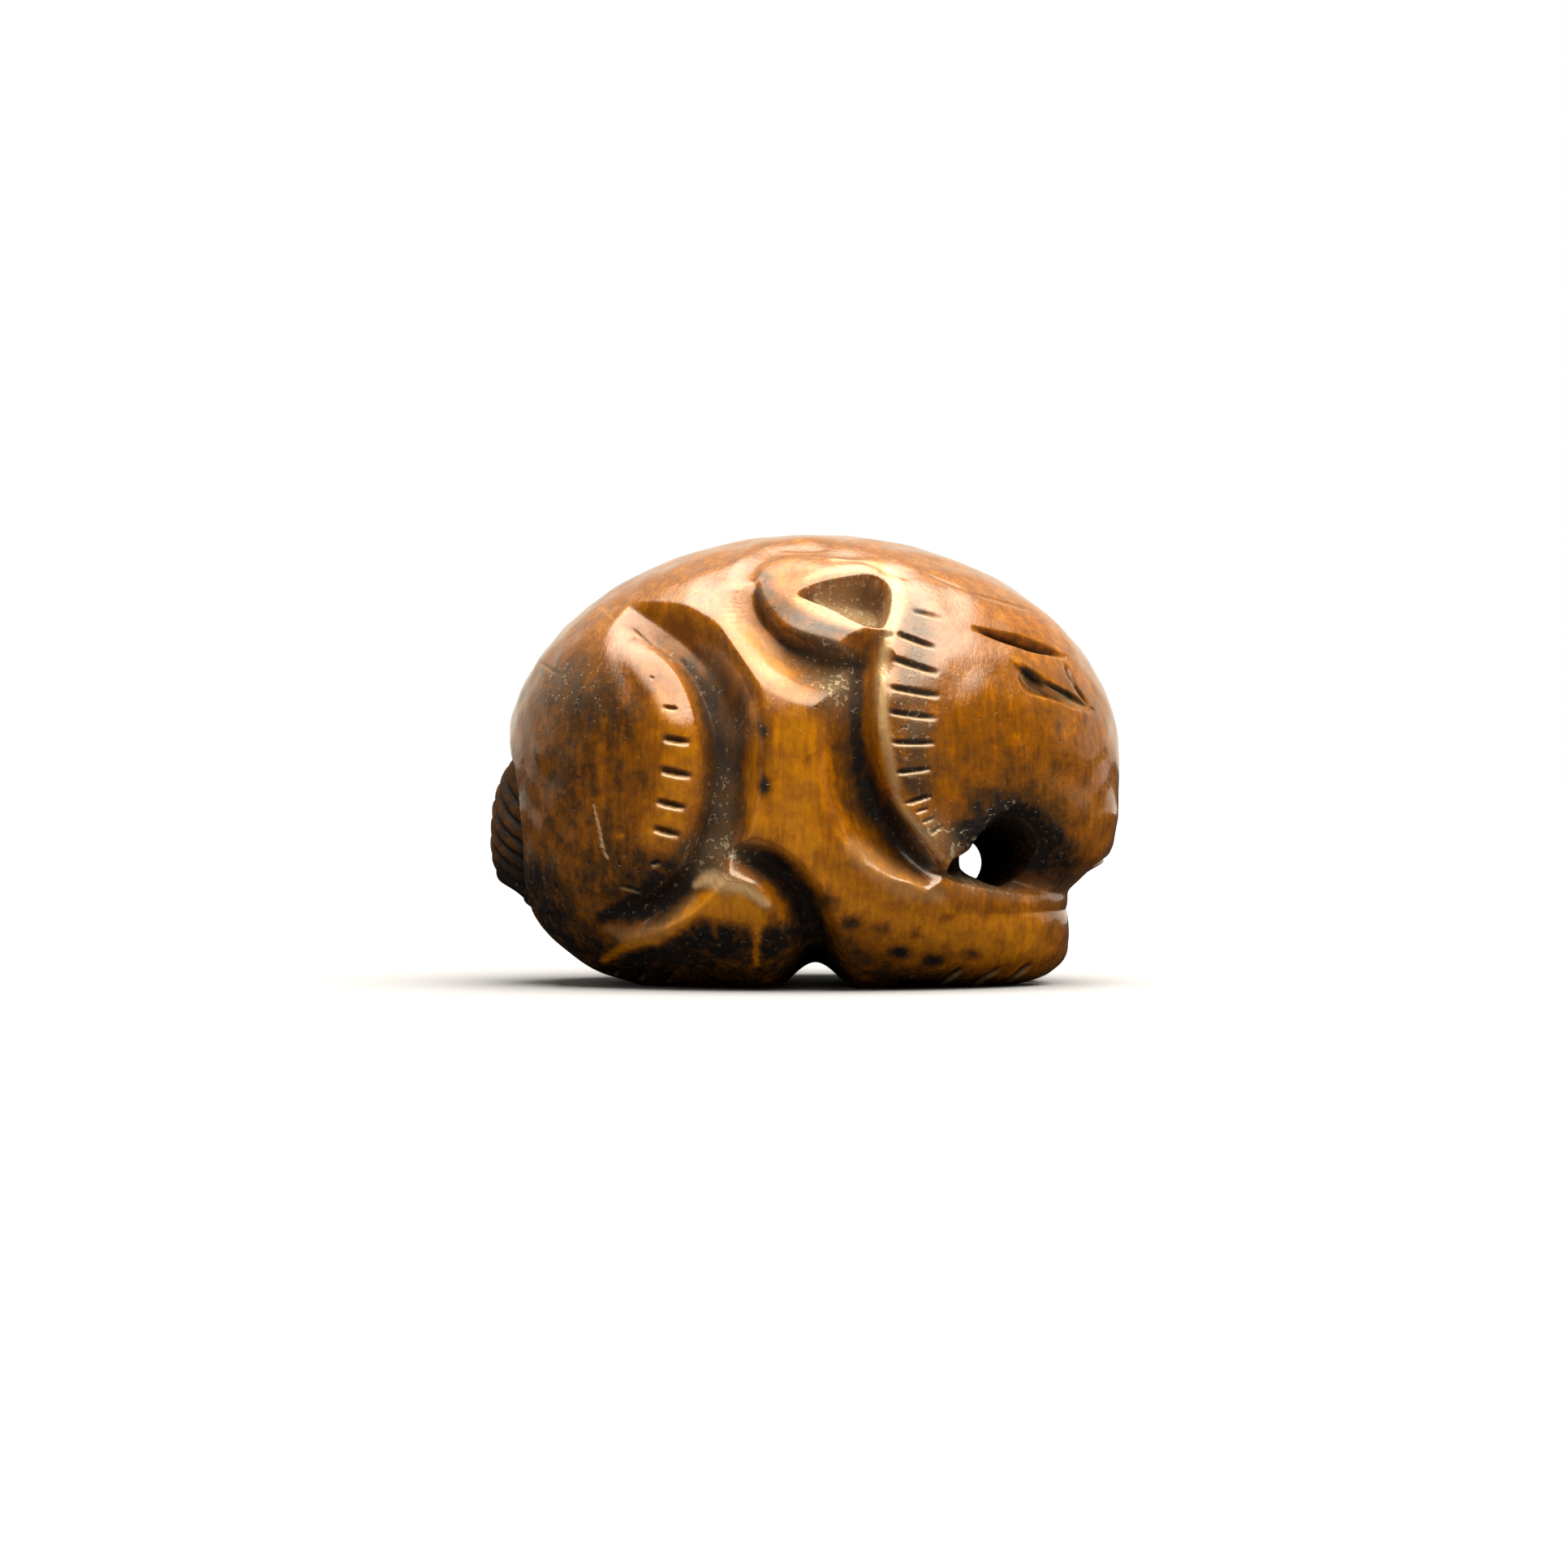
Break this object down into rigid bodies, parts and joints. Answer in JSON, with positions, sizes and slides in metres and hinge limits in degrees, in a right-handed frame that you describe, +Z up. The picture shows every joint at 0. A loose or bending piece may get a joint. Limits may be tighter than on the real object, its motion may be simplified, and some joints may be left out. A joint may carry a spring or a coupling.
{
  "type": "rabbit bead talisman",
  "caption": "Boxwood bead carved as a crouching rabbit with its ears laid back, drilled through behind the chin for a cord.",
  "frame": {"origin": "middle of the underside, level with the soles", "axes": "+X towards the nose, +Z up from the soles to the back, the rabbit's right flank towards -Y"},
  "size_m": [0.03, 0.019, 0.0213],
  "materials": {
    "boxwood": "stained and polished boxwood, dark in its hollows and worn pale on its high places"
  },
  "bodies": {
    "root": {"carved_rabbit": "boxwood"}
  },
  "joints": []
}
